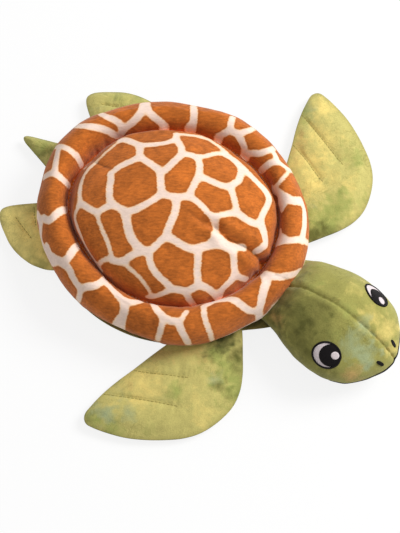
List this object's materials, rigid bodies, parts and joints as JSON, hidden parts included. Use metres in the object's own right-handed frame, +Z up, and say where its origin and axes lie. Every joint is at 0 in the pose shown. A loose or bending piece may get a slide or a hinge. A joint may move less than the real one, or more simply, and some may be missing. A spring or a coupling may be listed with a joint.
{
  "type": "plush sea turtle",
  "caption": "Plush sea turtle with a giraffe-print dome in a padded oval rim, mottled green head, flippers and tail, and an embroidered face.",
  "frame": {"origin": "middle of the belly's flat resting face", "axes": "-Y towards the nose, +X towards the turtle's left, +Z up out of the top of the shell"},
  "size_m": [0.3362, 0.3529, 0.067],
  "materials": {
    "printed_cloth": "short-pile plush with a giraffe print of orange-brown patches and cream lines",
    "green_cloth": "short-pile plush dyed in soft yellow-green, olive and teal clouds",
    "head_cloth": "short-pile plush dyed in olive, teal and pale yellow clouds",
    "fibre_fill": "loose white polyester fibre",
    "cream_thread": "spun sewing thread",
    "green_thread": "spun sewing thread",
    "black_thread": "satin embroidery thread",
    "white_thread": "satin embroidery thread"
  },
  "bodies": {
    "shell": {"shell_top_panel": "printed_cloth", "channel_stitch": "cream_thread", "dome_stuffing": "fibre_fill", "rim_stuffing": "fibre_fill", "belly_panel": "green_cloth", "neck_base": "head_cloth"},
    "neck": {"neck_slice": "head_cloth"},
    "head": {"crown_left_panel": "head_cloth", "crown_right_panel": "head_cloth", "chin_panel": "head_cloth", "head_stuffing": "fibre_fill", "mouth_stitch": "black_thread", "left_eye_outline": "black_thread", "left_eye_white": "white_thread", "left_eye_pupil": "black_thread", "left_eye_highlight": "white_thread", "left_nostril": "black_thread", "right_eye_outline": "black_thread", "right_eye_white": "white_thread", "right_eye_pupil": "black_thread", "right_eye_highlight": "white_thread", "right_nostril": "black_thread"},
    "left_front_flipper": {"left_front_flipper_upper_panel": "green_cloth", "left_front_flipper_lower_panel": "green_cloth", "left_front_flipper_stuffing": "fibre_fill", "left_front_flipper_inner_stitch": "green_thread", "left_front_flipper_outer_stitch": "green_thread"},
    "right_front_flipper": {"right_front_flipper_upper_panel": "green_cloth", "right_front_flipper_lower_panel": "green_cloth", "right_front_flipper_stuffing": "fibre_fill", "right_front_flipper_inner_stitch": "green_thread", "right_front_flipper_outer_stitch": "green_thread"},
    "left_rear_flipper": {"left_rear_flipper_upper_panel": "green_cloth", "left_rear_flipper_lower_panel": "green_cloth", "left_rear_flipper_stuffing": "fibre_fill", "left_rear_flipper_inner_stitch": "green_thread", "left_rear_flipper_outer_stitch": "green_thread"},
    "right_rear_flipper": {"right_rear_flipper_upper_panel": "green_cloth", "right_rear_flipper_lower_panel": "green_cloth", "right_rear_flipper_stuffing": "fibre_fill", "right_rear_flipper_inner_stitch": "green_thread", "right_rear_flipper_outer_stitch": "green_thread"},
    "tail": {"tail_upper_panel": "green_cloth", "tail_lower_panel": "green_cloth", "tail_stuffing": "fibre_fill"}
  },
  "joints": [
    {"name": "head_turn", "type": "hinge", "parent": "shell", "child": "neck", "pos_m": [0, -0.06, 0.024], "axis": [0, 0, 1], "range_deg": [-12, 12]},
    {"name": "head_nod", "type": "hinge", "parent": "neck", "child": "head", "pos_m": [0, -0.06, 0.024], "axis": [-1, 0, 0], "range_deg": [-15, 15]},
    {"name": "left_front_flipper_lift", "type": "hinge", "parent": "shell", "child": "left_front_flipper", "pos_m": [0.06653, -0.0776, 0.009], "axis": [-0.7157, -0.6984, 0], "range_deg": [-50, 35]},
    {"name": "right_front_flipper_lift", "type": "hinge", "parent": "shell", "child": "right_front_flipper", "pos_m": [-0.06653, -0.0776, 0.009], "axis": [-0.7157, 0.6984, 0], "range_deg": [-50, 35]},
    {"name": "left_rear_flipper_lift", "type": "hinge", "parent": "shell", "child": "left_rear_flipper", "pos_m": [0.0625, 0.08132, 0.009], "axis": [0.7527, -0.6584, 0], "range_deg": [-50, 35]},
    {"name": "right_rear_flipper_lift", "type": "hinge", "parent": "shell", "child": "right_rear_flipper", "pos_m": [-0.0625, 0.08132, 0.009], "axis": [0.7527, 0.6584, 0], "range_deg": [-50, 35]},
    {"name": "tail_lift", "type": "hinge", "parent": "shell", "child": "tail", "pos_m": [0, 0.10516, 0.009], "axis": [1, 0, 0], "range_deg": [-40, 30]}
  ]
}
